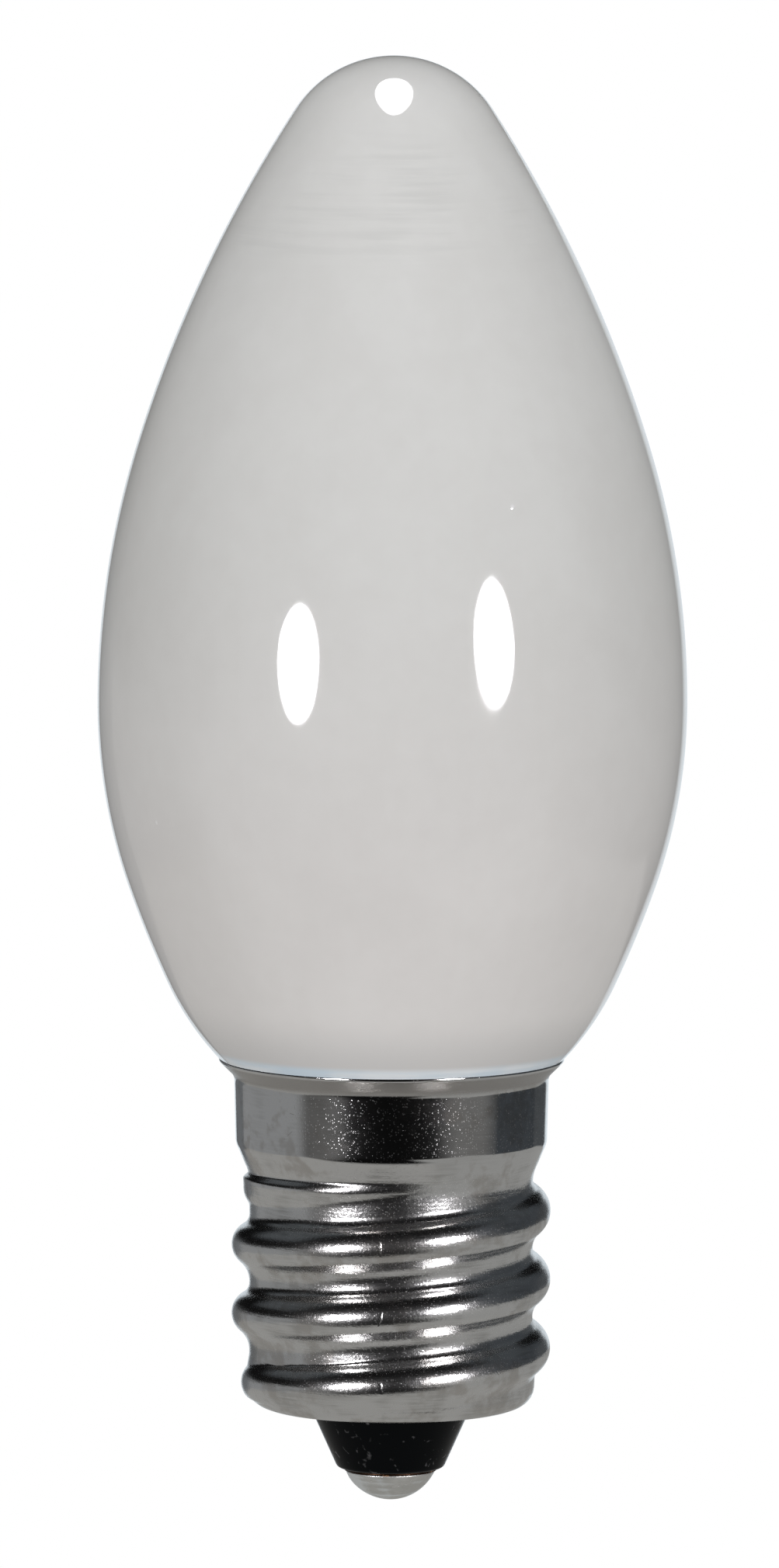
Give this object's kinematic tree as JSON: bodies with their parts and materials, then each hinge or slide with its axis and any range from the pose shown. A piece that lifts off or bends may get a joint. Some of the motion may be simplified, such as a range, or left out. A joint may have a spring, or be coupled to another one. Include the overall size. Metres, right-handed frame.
{
  "type": "led candelabra bulb",
  "caption": "Opaque white C7-shaped LED lamp on a nickel-plated candelabra screw base, with a black insulator and a soldered centre contact.",
  "frame": {"origin": "tip of the centre contact, on the screw axis", "axes": "+Z along the screw axis, from the contact to the top of the globe"},
  "size_m": [0.0215, 0.0214, 0.053],
  "materials": {
    "white_glass": "opaque white coating, glossy",
    "nickel_plate": "nickel-plated sheet, bright, with fine rolling marks",
    "black_insulator": "moulded black, glossy, lightly scratched",
    "eyelet_brass": "bare copper-coloured metal",
    "solder": "tin solder, half bright, streaked"
  },
  "bodies": {
    "root": {"globe": "white_glass", "screw_shell": "nickel_plate", "insulator": "black_insulator", "contact_eyelet": "eyelet_brass", "solder_tip": "solder"}
  },
  "joints": []
}
